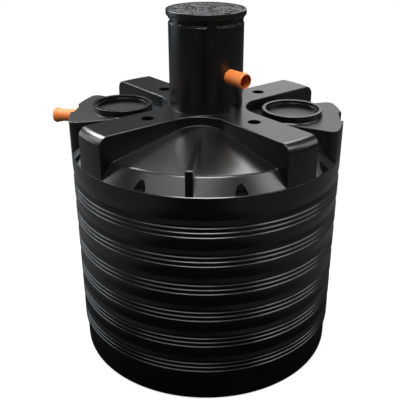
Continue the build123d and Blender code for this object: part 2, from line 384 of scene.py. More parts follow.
TANK_PLASTIC = MouldedPlastic(
    "tank_plastic", (0.0016, 0.0016, 0.0018), (0.0032, 0.0032, 0.0034), 0.26, 0.05
)
EDGE_PLASTIC = replace(TANK_PLASTIC, name="tank_plastic_edges", roughness=0.42, edge_radius=0.005)
FRAME_PLASTIC = MouldedPlastic(
    "frame_plastic", (0.0025, 0.0025, 0.0027), (0.005, 0.005, 0.0052), 0.30, 0.06
)
PIPE_PLASTIC = MouldedPlastic(
    "pipe_plastic", (0.80, 0.225, 0.045), (0.74, 0.20, 0.04), 0.38, 0.06, wave_height=0.0
)
SEAL_RUBBER = MouldedPlastic(
    "seal_rubber", (0.012, 0.012, 0.012), (0.02, 0.02, 0.02), 0.6, 0.08, wave_height=0.0
)
COVER_PLASTIC = MottledCover("cover_plastic", (0.010, 0.010, 0.0103), (0.10, 0.10, 0.103), 0.88)


def soft_step(value: np.ndarray, low: float, high: float) -> np.ndarray:
    """Return a smooth step: 0 below low, 1 above high, and 3t^2 - 2t^3 between them.

    Args:
        value: Array of values.
        low: Place where the step starts.
        high: Place where the step ends.

    Returns:
        Array of the same shape.
    """
    t = np.clip((value - low) / (high - low), 0.0, 1.0)
    return t * t * (3.0 - 2.0 * t)


def round_corners(points: np.ndarray, radii: np.ndarray, steps: int = 5) -> np.ndarray:
    """Round the corners of a closed outline.

    Each corner becomes a quadratic curve: (1-t)^2 times the point before, 2t(1-t) times the
    corner and t^2 times the point after, where both lie one radius along the sides.

    Args:
        points: Corners of the outline, one row each.
        radii: Cut-back along the sides at each corner, 0 for a sharp one.
        steps: Points along each rounded corner.

    Returns:
        The outline's new points.
    """
    before = np.roll(points, 1, axis=0) - points
    after = np.roll(points, -1, axis=0) - points
    reach_before = np.linalg.norm(before, axis=1)
    reach_after = np.linalg.norm(after, axis=1)
    cut = np.minimum(radii, SIDE_SHARE * np.minimum(reach_before, reach_after))
    start = points + before * (cut / reach_before)[:, None]
    end = points + after * (cut / reach_after)[:, None]
    t = np.linspace(0.0, 1.0, steps)[None, :, None]
    curve = (1 - t) ** 2 * start[:, None] + 2 * t * (1 - t) * points[:, None] + t**2 * end[:, None]
    keep = np.where(radii[:, None] > 0.0, True, np.arange(steps)[None, :] == 0)
    return curve[keep]


def quarter_round(steps: int) -> np.ndarray:
    """Return a hollow quarter-round of size 1: 1 - sin a and 1 - cos a up to a right angle."""
    part = np.linspace(0.0, 0.5 * math.pi, steps)
    return np.stack([1.0 - np.sin(part), 1.0 - np.cos(part)], axis=1)


def even_turn(steps: int) -> np.ndarray:
    """Return angles that divide a full turn into even steps."""
    return np.linspace(0.0, 2.0 * math.pi, steps, endpoint=False)


@dataclass(frozen=True)
class Axle:
    """Axis that a round piece is turned about."""

    origin: Point = (0.0, 0.0, 0.0)
    direction: Point = (0.0, 0.0, 1.0)

    def basis(self) -> tuple[np.ndarray, np.ndarray, np.ndarray]:
        """Return two cross directions and the direction itself, as unit vectors.

        Returns:
            The two cross directions and the axis, right-handed in this order.
        """
        along = np.array(self.direction) / np.linalg.norm(self.direction)
        helper = np.array([1.0, 0.0, 0.0]) if abs(along[2]) > 0.9 else np.array([0.0, 0.0, 1.0])
        first = np.cross(helper, along)
        first = first / np.linalg.norm(first)
        return first, np.cross(along, first), along


def smooth(mesh: bpy.types.Mesh) -> None:
    """Shade a mesh smooth but for its sharp edges.

    Args:
        mesh: Mesh that is shaded.
    """
    mesh.polygons.foreach_set("use_smooth", np.ones(len(mesh.polygons), dtype=bool))
    mesh.set_sharp_from_angle(angle=math.radians(SHARP_ANGLE))
    mesh.update()


@dataclass
class Surface:
    """Mesh grid that becomes a piece of the tank."""

    name: str
    slot: Slot
    replaces: tuple[str, ...] = ()
    body: str = "tank"

    def turned(
        self,
        outline: np.ndarray,
        axle: Axle,
        segments: int,
        inset: np.ndarray | None = None,
    ) -> bpy.types.Object:
        """Make a piece by turning a closed outline about an axis.

        A point of outline (r, h) at angle a lies at origin + (r cos a) first + (r sin a) second
        + h along, where the three are the axle's directions.

        Args:
            outline: Closed outline as rows of radius and height, anticlockwise with r to the right.
            axle: Axis of the piece.
            segments: Number of even steps round the axis.
            inset: Amount taken off the radius, one row per angle and one column per outline point.

        Returns:
            The new object.
        """
        first, second, along = axle.basis()
        turn = even_turn(segments)
        radius = np.broadcast_to(outline[:, 0], (segments, len(outline)))
        radius = radius if inset is None else radius - inset
        height = np.broadcast_to(outline[:, 1], radius.shape)
        points = (
            np.array(axle.origin)
            + (radius * np.cos(turn)[:, None])[..., None] * first
            + (radius * np.sin(turn)[:, None])[..., None] * second
            + height[..., None] * along
        )
        return self.ring(points)

    def ring(self, points: np.ndarray) -> bpy.types.Object:
        """Make a piece from a grid of points that closes on itself in both directions.

        Args:
            points: Array of rows, columns and coordinates.

        Returns:
            The new object.
        """
        rows, columns = points.shape[:2]
        number = np.arange(rows * columns).reshape(rows, columns)
        beside = np.roll(number, -1, axis=0)
        above = np.roll(number, -1, axis=1)
        corner = np.roll(beside, -1, axis=1)
        faces = np.stack([number, beside, corner, above], axis=-1).reshape(-1, 4)
        return self.piece(points.reshape(-1, 3), faces.tolist())

    def strip(self, points: np.ndarray) -> bpy.types.Object:
        """Make a closed bar from cross-sections along a path.

        Args:
            points: Array of sections, points round each section and coordinates.

        Returns:
            The new object.
        """
        return self.piece(*prism(points))

    def piece(self, points: np.ndarray, faces: list[list[int]]) -> bpy.types.Object:
        """Put points and faces into a new object, smooth but for its sharp edges.

        Args:
            points: Vertex positions in metres, one row each.
            faces: Vertex numbers of each face.

        Returns:
            The new object, riding on its body.
        """
        mesh = bpy.data.meshes.new(self.name)
        mesh.from_pydata(points, [], faces)
        mesh.validate()
        smooth(mesh)
        made = bpy.data.objects.new(self.name, mesh)
        bpy.context.scene.collection.objects.link(made)
        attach(made, self.body)
        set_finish(made, self.slot.value)
        if self.replaces:
            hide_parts(*self.replaces)
        LOG.info("%s: %d vertices, %d faces", self.name, len(points), len(faces))
        return made


def prism(points: np.ndarray) -> tuple[np.ndarray, list[list[int]]]:
    """Return the vertices and faces of a closed bar with a fan of faces at each end.

    Args:
        points: Array of sections, points round each section and coordinates.

    Returns:
        The vertices, one row each, and the faces as lists of vertex numbers.
    """
    rows, columns = points.shape[:2]
    number = np.arange(rows * columns).reshape(rows, columns)
    above = np.roll(number, -1, axis=1)
    sides = np.stack([number[:-1], number[1:], above[1:], above[:-1]], axis=-1).reshape(-1, 4)
    return points.reshape(-1, 3), [*sides.tolist(), number[0].tolist(), number[-1][::-1].tolist()]


def cut_away(piece: bpy.types.Object, name: str, space: np.ndarray) -> None:
    """Cut a closed space out of a piece and keep the result as its mesh.

    Args:
        piece: Object that is cut.
        name: Name of the cut.
        space: Sections of the space, as for a closed bar.
    """
    mesh = bpy.data.meshes.new(name)
    points, faces = prism(space)
    mesh.from_pydata(points, [], faces)
    cutter = bpy.data.objects.new(name, mesh)
    bpy.context.scene.collection.objects.link(cutter)
    cut = piece.modifiers.new(name, "BOOLEAN")
    cut.operation, cut.solver, cut.object = "DIFFERENCE", "EXACT", cutter
    graph = bpy.context.evaluated_depsgraph_get()
    whole = piece.data
    piece.data = bpy.data.meshes.new_from_object(piece.evaluated_get(graph))
    piece.modifiers.clear()
    bpy.data.objects.remove(cutter)
    bpy.data.meshes.remove(mesh)
    bpy.data.meshes.remove(whole)
    smooth(piece.data)


@dataclass
class TankWall:
    """Round wall: a plain foot, grooved hoops and a plain shoulder, on the places of the CAD rings."""

    ring_wall: float = 0.024
    floor: float = 0.022
    foot_round: float = 0.034
    hoops: int = 6
    notch_depth: float = 0.009
    notch_rise: float = 0.035
    notch_slope: float = 0.070
    notch_round: float = 0.020
    grooves: int = 3
    groove_spacing: float = 0.041
    groove_width: float = 0.0214
    groove_floor: float = 0.0084
    groove_depth: float = 0.008
    groove_drop: float = 0.094
    groove_round: float = 0.0019
    top_groove_slope: float = 0.0010
    corner_steps: int = 6
    foot_steps: int = 9
    segments: int = 360

    def build(self) -> list[bpy.types.Object]:
        """Build the foot, the hoops and the shoulder.

        Returns:
            The wall's pieces from the bottom up.
        """
        hoops = [self.hoop(number + 1) for number in range(self.hoops)]
        return [self.foot(), *hoops, self.shoulder()]

    def closed(self, outside: list[tuple[float, float, float]], inner: float) -> np.ndarray:
        """Round an outer outline and close it along the plain inner face.

        Args:
            outside: Radius, height and rounding of each outer corner, from the bottom up.
            inner: Radius of the inner face.

        Returns:
            The closed outline, rows of radius and height.
        """
        top, bottom = outside[-1][1], outside[0][1]
        corners = np.array([*outside, (inner, top, 0.0), (inner, bottom, 0.0)])
        return round_corners(corners[:, :2], corners[:, 2], self.corner_steps)

    def foot(self) -> bpy.types.Object:
        """Build the foot: floor, rounded lower edge and plain band.

        Returns:
            The new object.
        """
        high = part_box("base")[1]
        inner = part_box("hoop_1")[1].x - self.ring_wall
        corners = np.array([
            (ON_AXIS, self.floor), (ON_AXIS, 0.0), (high.x, 0.0),
            (high.x, high.z), (inner, high.z), (inner, self.floor),
        ])
        outline = round_corners(corners, np.array([0, 0, self.foot_round, 0, 0, 0]), self.foot_steps)
        return Surface("foot", Slot.TANK, ("base",)).turned(outline, Axle(), self.segments)

    def hoop(self, number: int) -> bpy.types.Object:
        """Build one hoop, with its grooves between the lower and the upper notch.

        Args:
            number: Number of the hoop, 1 for the lowest.

        Returns:
            The new object.
        """
        name = f"hoop_{number}"
        low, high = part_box(name)
        radius, bottom, top = high.x, low.z, high.z
        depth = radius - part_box("base")[1].x if number == 1 else self.notch_depth
        outside = [(radius - depth, bottom, 0.0), (radius, bottom + self.notch_slope, self.notch_round)]
        for place in range(self.grooves):
            above = self.groove_spacing * (place - 0.5 * (self.grooves - 1))
            centre = top - self.groove_drop + above
            slope = self.top_groove_slope if place == self.grooves - 1 else 0.0
            deep = radius - self.groove_depth
            outside += [
                (radius, centre - 0.5 * self.groove_width - slope, self.groove_round),
                (deep, centre - 0.5 * self.groove_floor, self.groove_round),
                (deep, centre + 0.5 * self.groove_floor, self.groove_round),
                (radius, centre + 0.5 * self.groove_width, self.groove_round),
            ]
        outside += [
            (radius, top - self.notch_rise, self.notch_round),
            (radius - self.notch_depth, top, 0.0),
        ]
        outline = self.closed(outside, radius - self.ring_wall)
        return Surface(f"{name}_skin", Slot.TANK, (name,)).turned(outline, Axle(), self.segments)

    def shoulder(self) -> bpy.types.Object:
        """Build the plain shoulder above the top notch.

        Returns:
            The new object.
        """
        low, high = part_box("shoulder_ring")
        outside = [
            (high.x - self.notch_depth, low.z, 0.0),
            (high.x, low.z + self.notch_slope, self.notch_round),
            (high.x, high.z, 0.0),
        ]
        outline = self.closed(outside, high.x - self.ring_wall)
        skin = Surface("shoulder_skin", Slot.TANK, ("shoulder_ring",))
        return skin.turned(outline, Axle(), self.segments)


@dataclass
class Roof:
    """Sloping roof edge with its pockets and the shallow cone inside it, as one skin."""

    bore: float = 0.308
    apex_radius: float = 0.320
    apex: float = 2.222
    crease_radius: float = 1.092
    crease: float = 2.068
    radius: float = 1.2
    rim: float = 1.940
    bottom: float = 1.928
    inner: float = 1.118
    drop: float = 0.016
    ledge: float = 0.008
    ledge_rise: float = 0.004
    ledge_round: float = 0.0012
    crease_round: float = 0.016
    pocket_width: float = 0.108
    pocket_reach: float = 0.060
    pocket_lean: float = 0.08
    pocket_rise: float = 0.130
    pocket_past: float = 0.03
    pocket_angles: tuple[float, ...] = (19.2, 60.5)
    corner_steps: int = 8
    cone_steps: int = 24
    segments: int = 360

    def height(self, radius: np.ndarray) -> np.ndarray:
        """Return the height of the roof's face, a cone inside the crease and a steeper one outside.

        Args:
            radius: Distances from the tank's axis.

        Returns:
            Heights of the same shape.
        """
        return np.interp(
            radius,
            [self.apex_radius, self.crease_radius, self.radius],
            [self.apex, self.crease, self.rim],
        )

    def pocket_turns(self) -> np.ndarray:
        """Return the angles of the pockets, either side of the front and of the back.

        Returns:
            Angles from the front in radians.
        """
        near = np.radians(self.pocket_angles)
        return np.concatenate([near, -near, math.pi + near, math.pi - near]) % (2.0 * math.pi)

    def outline(self) -> np.ndarray:
        """Return the closed outline of the skin, with close points along the cone.

        Returns:
            Rows of radius and height.
        """
        corners = np.array([
            (self.radius, self.bottom), (self.radius, self.rim - self.ledge_rise),
            (self.radius - self.ledge, self.rim + 0.5 * self.ledge_rise),
            (self.crease_radius, self.crease), (self.apex_radius, self.apex),
            (self.bore, self.apex), (self.bore, self.apex - self.drop),
            (self.apex_radius, self.apex - self.drop),
            (self.crease_radius, self.crease - self.drop), (self.inner, self.bottom),
        ])
        radii = np.array([0, self.ledge_round, self.ledge_round, self.crease_round, 0, 0, 0, 0, 0, 0])
        rounded = round_corners(corners, radii, self.corner_steps)
        crown = 1 + 3 * self.corner_steps
        inside = rounded[crown - 1]
        share = np.linspace(0.0, 1.0, self.cone_steps)[1:-1, None]
        cone = inside + (rounded[crown] - inside) * share
        return np.concatenate([rounded[:crown], cone, rounded[crown:]])

    def build(self) -> list[bpy.types.Object]:
        """Build the skin with its pockets and the fillets at the feet of the arms.

        Returns:
            The skin and the fillets at the feet of the arms.
        """
        skin = Surface("roof_skin", Slot.TANK, ("roof_cone", "roof_edge"))
        skin = skin.turned(self.outline(), Axle(), self.segments)
        for number, turn in enumerate(self.pocket_turns()):
            cut_away(skin, f"pocket_{number + 1}", self.pocket(turn))
        return [skin, *(ArmFoot(self, quarter).build() for quarter in range(4))]

    def pocket(self, turn: float) -> np.ndarray:
        """Return the space of one pocket as an outline at two heights.

        The reach inwards from the rim is the full reach times (1 - t^2)^0.7 at t half widths
        to the side, and it grows with the height above the rim.

        Args:
            turn: Angle of the pocket from the front in radians.

        Returns:
            Array of two rows, the outline's points and coordinates.
        """
        t = np.linspace(-1.0, 1.0, 25)
        heights = np.array([0.0, self.pocket_rise])
        reach = self.pocket_reach + self.pocket_lean * heights
        arch = reach[:, None] * (1.0 - t**2) ** 0.7
        inward = np.concatenate([arch, np.full((2, 2), -self.pocket_past)], axis=1)
        aside = 0.5 * self.pocket_width * np.concatenate([t, [1.0, -1.0]])
        along = self.radius - inward
        first, second, _ = Axle().basis()
        x = along * math.cos(turn) - aside * math.sin(turn)
        y = along * math.sin(turn) + aside * math.cos(turn)
        z = np.broadcast_to((self.rim + heights)[:, None], x.shape)
        upright = np.array([0.0, 0.0, 1.0])
        return x[..., None] * first + y[..., None] * second + z[..., None] * upright


@dataclass
class ArmFoot:
    """Small fillet where the walls of two arms and of the hub meet the roof."""

    roof: Roof
    quarter: int
    half_width: float = 0.165
    bend: float = 0.290
    size: float = 0.003
    short: float = 0.004
    into_wall: float = 0.004
    into_roof: float = 0.006
    straight_steps: int = 40
    bend_steps: int = 24
    section_steps: int = 7

    def build(self) -> bpy.types.Object:
        """Build the fillet of one bay, the front one for quarter 0, then anticlockwise from above.

        The path runs in along one arm's wall, round the hub's hollow corner and out along the
        other arm's wall, and each section is a hollow quarter-round between wall and roof.

        Returns:
            The new object.
        """
        steps, half, bend, size = self.straight_steps, self.half_width, self.bend, self.size
        reach = math.sqrt((self.roof.radius - self.short) ** 2 - half**2)
        corner = half + bend
        straight = np.linspace(reach, corner, steps)
        sweep = np.linspace(0.0, 0.5 * math.pi, self.bend_steps + 2)[1:-1]
        wall = np.full(steps, half)
        along = np.concatenate([straight, corner - bend * np.sin(sweep), wall])
        across = np.concatenate([wall, corner - bend * np.cos(sweep), straight[::-1]])
        aside = np.concatenate([np.zeros(steps), np.sin(sweep), np.ones(steps)])
        beside = np.concatenate([np.ones(steps), np.cos(sweep), np.zeros(steps)])
        hollow = size * quarter_round(self.section_steps)
        out = np.concatenate([[-self.into_wall], hollow[:, 0], [size, -self.into_wall]])
        up = np.concatenate([[size], hollow[:, 1], np.full(2, -self.into_roof)])
        u = along[:, None] + aside[:, None] * out[None, :]
        v = across[:, None] + beside[:, None] * out[None, :]
        turn = 0.5 * math.pi * self.quarter - 0.75 * math.pi
        x = u * math.cos(turn) - v * math.sin(turn)
        y = u * math.sin(turn) + v * math.cos(turn)
        z = self.roof.height(np.hypot(u, v)) + up[None, :]
        points = np.stack([x, y, z], axis=-1)
        return Surface(f"arm_foot_{self.quarter + 1}", Slot.TANK).strip(points[:, ::-1])


@dataclass
class Gusset:
    """Fin down the middle of a roof bay, with a plain block at its outer end."""

    name: str
    side: float
    half_width: float = 0.0265
    block_half_width: float = 0.0295
    start: float = 0.47
    block_start: float = 1.100
    end: float = 1.194
    top_inside: float = 2.180
    top: float = 2.150
    block_rise: float = 0.003
    block_ramp: float = 0.004
    edge: float = 0.004
    end_round: float = 0.014
    roof_places: tuple[float, ...] = (0.320, 1.092, 1.2)
    foot_heights: tuple[float, ...] = (2.212, 2.058, 1.934)
    section_steps: int = 7

    def build(self) -> list[bpy.types.Object]:
        """Build the fin as a bar whose section is a rectangle with rounded upper corners.

        Along the axis y the upper face falls evenly to the block, is level over it and turns
        down through a quarter circle at the outer end.

        Returns:
            The piece in a list.
        """
        part = quarter_round(self.section_steps)
        step = self.block_start
        places = [self.start, step - self.block_ramp, step]
        along = np.concatenate([
            np.linspace(places[0], places[1], 12),
            [step, step + 0.5 * self.block_ramp, self.end - self.end_round],
            self.end - self.end_round * part[1:, 0],
        ])
        top = np.interp(along, places, [self.top_inside, self.top, self.top + self.block_rise])
        top[1 - len(part):] -= self.end_round * part[1:, 1]
        half = np.interp(along, places, [self.half_width, self.half_width, self.block_half_width])
        corner = self.edge * part[:, ::-1]
        across = np.concatenate([half[:, None] - corner[:, 0], corner[::-1, 0] - half[:, None]], axis=1)
        height = np.concatenate([top[:, None] - corner[:, 1], top[:, None] - corner[::-1, 1]], axis=1)
        low = self.foot(along)[:, None]
        across = np.concatenate([half[:, None], across, -half[:, None]], axis=1)
        height = np.concatenate([low, height, low], axis=1)
        y = np.broadcast_to(along[:, None], across.shape) * self.side
        points = np.stack([across * self.side, y, height], axis=-1)
        return [Surface(f"{self.name}_fin", Slot.TANK, (self.name,)).strip(points)]

    def foot(self, along: np.ndarray) -> np.ndarray:
        """Return the fin's lower edge, a little inside the roof's skin.

        Args:
            along: Distances from the tank's axis.

        Returns:
            Heights of the same shape.
        """
        return np.interp(along, self.roof_places, self.foot_heights)


@dataclass
class AccessShaft:
    """Access shaft with six slots sunk into its wall under the cover frame."""

    radius: float = 0.32
    bore: float = 0.308
    base: float = 2.292
    foot: float = 0.0015
    neck_bore: float = 0.293
    neck_bottom: float = 2.988
    top: float = 3.084
    slots: int = 6
    slot_first: float = -45.0
    slot_span: float = 48.0
    slot_low: float = 3.010
    slot_high: float = 3.052
    slot_depth: float = 0.012
    slot_flank: float = 0.011
    slot_margin: float = 0.006
    neck_slope: float = 0.012
    rim_edge: float = 0.003
    segments: int = 720

    def build(self) -> list[bpy.types.Object]:
        """Build the shaft.

        Returns:
            The shaft's piece in a list.
        """
        foot = np.array([self.radius, self.base]) + self.foot * quarter_round(8)
        low, high = self.slot_low - self.slot_margin, self.slot_high + self.slot_margin
        heights = np.concatenate([
            np.linspace(self.base + 0.06, low - 0.02, 12), np.linspace(low, high, 44),
            [self.top - self.rim_edge - 0.001],
        ])
        wall = np.stack([np.full(len(heights), self.radius), heights], axis=1)
        inside = np.array([
            (self.radius - self.rim_edge, self.top), (self.neck_bore, self.top),
            (self.neck_bore, self.neck_bottom), (self.bore, self.neck_bottom - self.neck_slope),
            (self.bore, self.base),
        ])
        outline = np.concatenate([foot, wall, inside])
        shaft = Surface("shaft", Slot.TANK, ("riser",))
        return [shaft.turned(outline, Axle(), self.segments, self.slot_inset(outline))]

    def slot_inset(self, outline: np.ndarray) -> np.ndarray:
        """Return how far the slots take the wall in.

        The depth is a smooth step of the distance inside a long round-ended slot: the distance
        round the shaft past the straight part and the distance up or down are taken together.

        Args:
            outline: Outline of the shaft.

        Returns:
            One row per angle and one column per outline point.
        """
        first, second, _ = Axle().basis()
        angle = even_turn(self.segments)
        across = np.cos(angle) * first[0] + np.sin(angle) * second[0]
        upward = np.cos(angle) * first[1] + np.sin(angle) * second[1]
        turn = np.degrees(np.arctan2(upward, across))
        step = 360.0 / self.slots
        off = (turn - self.slot_first + 0.5 * step) % step - 0.5 * step
        arc = np.radians(np.abs(off)) * self.radius
        half_height = 0.5 * (self.slot_high - self.slot_low)
        half_length = math.radians(0.5 * self.slot_span) * self.radius - half_height
        middle = 0.5 * (self.slot_high + self.slot_low)
        past = np.maximum(arc - half_length, 0.0)[:, None]
        rise = np.abs(outline[:, 1] - middle)[None, :]
        away = half_height - np.hypot(past, rise)
        outer = (outline[:, 0] > self.radius - 0.001)[None, :]
        return self.slot_depth * soft_step(away, -0.001, self.slot_flank) * outer


@dataclass
class CoverSet:
    """Cover frame and the lift-off cover with raised grain and four pits."""

    seat: float = 0.290
    bottom: float = 3.084
    top: float = 3.12
    skirt: float = 0.3205
    skirt_bottom: float = 3.071
    outer: float = 0.338
    skirt_edge: tuple[float, float] = (0.005, 0.008)
    lip: float = 0.334
    lip_edge: float = 0.003
    opening: float = 0.3195
    seat_top: float = 3.094
    cover_radius: float = 0.3150
    cover_bottom: float = 3.0945
    cover_top: float = 3.118
    chamfer: float = 0.0055
    pits: tuple[tuple[float, float], ...] = (
        (-0.110, 0.025), (-0.070, -0.035), (-0.035, 0.090), (0.120, 0.110),
    )
    pit_radius: float = 0.022
    pit_slope: float = 0.006
    pit_depth: float = 0.011
    stud_height: float = 0.0028
    stud_pitch: float = 0.036
    stud_sway: tuple[float, float] = (0.37, 0.41)
    stud_edge: tuple[float, float] = (0.285, 0.295)
    frame_segments: int = 256
    cover_segments: int = 288

    def build(self) -> list[bpy.types.Object]:
        """Build the frame and the cover.

        Returns:
            The two pieces.
        """
        corners = np.array([
            (self.seat, self.bottom), (self.skirt, self.bottom), (self.skirt, self.skirt_bottom),
            (self.outer - self.skirt_edge[0], self.skirt_bottom),
            (self.outer, self.skirt_bottom + self.skirt_edge[1]),
            (self.outer, self.top - self.lip_edge), (self.lip, self.top), (self.opening, self.top),
            (self.opening, self.seat_top), (self.seat, self.seat_top),
        ])
        radii = np.array([0.001, 0.0, 0.001, 0.003, 0.004, 0.002, 0.002, 0.001, 0.001, 0.001])
        outline = round_corners(corners, radii, 5)
        frame = Surface("frame_ring", Slot.FRAME, ("cover_frame",))
        return [frame.turned(outline, Axle(), self.frame_segments), self.cover()]

    def cover(self) -> bpy.types.Object:
        """Build the cover as a turned plate whose upper face carries low studs and the pits.

        The upper face rises by a smooth step of the product of two cosines of the x and y
        places, whose rows wander by a sine, and falls by the pit depth inside each pit's circle.

        Returns:
            The new object.
        """
        rings = np.linspace(self.cover_radius - self.chamfer, 0.004, 96)
        rings = np.concatenate([rings, [ON_AXIS]])
        face = np.stack([rings, np.full(len(rings), self.cover_top)], axis=1)
        rim = np.array([
            (ON_AXIS, self.cover_bottom), (self.cover_radius - 0.001, self.cover_bottom),
            (self.cover_radius, self.cover_bottom + 0.001),
            (self.cover_radius, self.cover_top - self.chamfer),
        ])
        outline = np.concatenate([rim, face])
        plate = Surface("cover_plate", Slot.COVER, ("cover",), "cover_body")
        made = plate.turned(outline, Axle(), self.cover_segments)
        mesh = made.data
        points = np.empty(len(mesh.vertices) * 3)
        mesh.vertices.foreach_get("co", points)
        points = points.reshape(-1, 3)
        upper = points[:, 2] > self.cover_top - 1e-4
        reach = np.hypot(points[:, 0], points[:, 1])
        u, v = points[:, :2].T * (2.0 * math.pi / self.stud_pitch)
        wave = np.cos(u + np.sin(self.stud_sway[0] * v)) * np.cos(v + np.sin(self.stud_sway[1] * u))
        studs = self.stud_height * soft_step(wave, 0.0, 0.7) * (1.0 - soft_step(reach, *self.stud_edge))
        depth = np.zeros(len(points))
        pit_floor = self.pit_radius - self.pit_slope
        for x, y in self.pits:
            away = np.hypot(points[:, 0] - x, points[:, 1] - y)
            depth = np.maximum(depth, 1.0 - soft_step(away, pit_floor, self.pit_radius))
        points[:, 2] += np.where(upper, studs * (1.0 - depth) - self.pit_depth * depth, 0.0)
        mesh.vertices.foreach_set("co", points.reshape(-1))
        mesh.update()
        return made


@dataclass
class Upstand:
    """Round upstand on a platform."""

    name: str
    side: float
    distance: float = 0.755
    inner: float = 0.227
    outer: float = 0.262
    bottom: float = 2.224
    top: float = 2.284
    foot: float = 0.006
    rebate: float = 0.006
    rebate_floor: float = 2.258
    segments: int = 192

    def build(self) -> list[bpy.types.Object]:
        """Build the upstand with rounded edges and a small fillet at its foot.

        Returns:
            The piece in a list.
        """
        corners = np.array([
            (self.inner, self.bottom), (self.outer + self.foot, self.bottom),
            (self.outer, self.bottom + self.foot), (self.outer, self.top),
            (self.inner + self.rebate, self.top), (self.inner + self.rebate, self.rebate_floor),
            (self.inner, self.rebate_floor),
        ])
        radii = np.array([0.0, 0.0005, 0.004, 0.004, 0.002, 0.001, 0.002])
        outline = round_corners(corners, radii, 6)
        axle = Axle((self.side * self.distance, 0.0, 0.0))
        ring = Surface(f"{self.name}_ring", Slot.TANK, (self.name,))
        return [ring.turned(outline, axle, self.segments)]


@dataclass
class PipeConnection:
    """Straight socketed pipe in a wall, with the ring seal in its mouth."""

    name: str
    origin: Point
    direction: Point
    start: float
    end: float
    radius: float = 0.055
    wall: float = 0.0032
    sleeve: float = 0.0605
    socket: float = 0.067
    mouth: float = 0.0555
    socket_length: float = 0.066
    taper: float = 0.010
    bead: tuple[float, float, float, float] = (0.038, 0.032, 0.014, 0.008)
    channel: tuple[float, float, float, float] = (0.012, 0.014, 0.026, 0.028)
    channel_depth: float = 0.006
    seal_place: float = 0.020
    seal_inside: float = 0.0025
    seal_half: tuple[float, float] = (0.0034, 0.0055)

    def build(self) -> list[bpy.types.Object]:
        """Build the pipe and the ring seal, an ellipse turned about the pipe's axis.

        Bead and channel are given by their four places along the pipe, back from its mouth.

        Returns:
            The two pieces.
        """
        bore = self.radius - self.wall
        neck = self.end - self.socket_length
        end, lip, deep = self.end, self.mouth + self.wall + 0.001, self.mouth + self.channel_depth
        bead, channel = end - np.array(self.bead), end - np.array(self.channel)
        corners = np.array([
            (bore, self.start), (self.radius, self.start), (self.radius, neck - self.taper),
            (self.sleeve, neck), (self.sleeve, bead[0]), (self.socket, bead[1]),
            (self.socket, bead[2]), (lip, bead[3]), (lip, end), (self.mouth, end),
            (self.mouth, channel[0]), (deep, channel[1]), (deep, channel[2]),
            (self.mouth, channel[3]), (self.mouth, neck), (bore, neck - 0.002),
        ])
        rounds = np.array([0.0005] * 2 + [0.004] * 5 + [0.003] + [0.001] * 8)
        axle = Axle(self.origin, self.direction)
        pipe = Surface(f"{self.name}_socketed", Slot.PIPE, (f"{self.name}_pipe",))
        pipe = pipe.turned(round_corners(corners, rounds, 5), axle, 128)
        angle = even_turn(16)
        ring = np.stack([
            self.mouth + self.seal_inside + self.seal_half[0] * np.cos(angle),
            end - self.seal_place + self.seal_half[1] * np.sin(angle),
        ], axis=1)
        seal = Surface(f"{self.name}_ring_seal", Slot.SEAL).turned(ring, axle, 96)
        return [pipe, seal]


@dataclass
class Dresser:
    """Hands out materials to the new pieces and to the carried-over CAD nodes."""

    made: dict[str, bpy.types.Material] = field(default_factory=dict)

    def finish_for(self, slot: Slot, edges: bool = False) -> bpy.types.Material:
        """Return the material of a slot, making it at its first use.

        Args:
            slot: Slot of the record.
            edges: True for a node whose own edges are softened in its shading.

        Returns:
            The material.
        """
        finishes = {
            Slot.TANK: EDGE_PLASTIC if edges else TANK_PLASTIC,
            Slot.FRAME: FRAME_PLASTIC,
            Slot.COVER: COVER_PLASTIC,
            Slot.PIPE: PIPE_PLASTIC,
            Slot.SEAL: SEAL_RUBBER,
        }
        finish = finishes[slot]
        if finish.name not in self.made:
            self.made[finish.name] = finish.make()
        return self.made[finish.name]

    def dress(self, piece: bpy.types.Object, slot: Slot, edges: bool = False) -> None:
        """Put a material on every slot of a piece.

        Args:
            piece: Object to dress.
            slot: Slot of the record.
            edges: True for a node whose own edges are softened in its shading.
        """
        material = self.finish_for(slot, edges)
        if not piece.material_slots:
            piece.data.materials.append(material)
        for place in piece.material_slots:
            place.material = material


@dataclass(frozen=True)
class Softbox:
    """Soft rectangular lamp in a direction from the tank, facing its middle."""

    name: str
    azimuth: float
    elevation: float
    width: float
    height: float
    strength: float
    tint: Colour = WHITE
    distance: float = 12.0
    target: Point = (0.0, 0.0, 1.6)

    def build(self) -> bpy.types.Object:
        """Add the lamp, whose power is pi times its strength times its area.

        Returns:
            The new lamp.
        """
        turn, rise = math.radians(self.azimuth), math.radians(self.elevation)
        lamp = bpy.data.lights.new(self.name, "AREA")
        lamp.shape = "RECTANGLE"
        lamp.size, lamp.size_y = self.width, self.height
        lamp.energy = math.pi * self.strength * self.width * self.height
        lamp.color = self.tint
        made = bpy.data.objects.new(self.name, lamp)
        level = math.cos(rise)
        away = np.array([math.sin(turn) * level, -math.cos(turn) * level, math.sin(rise)])
        made.location = np.array(self.target) + self.distance * away
        made.rotation_euler = (0.5 * math.pi - rise, 0.0, turn)
        bpy.context.scene.collection.objects.link(made)
        return made


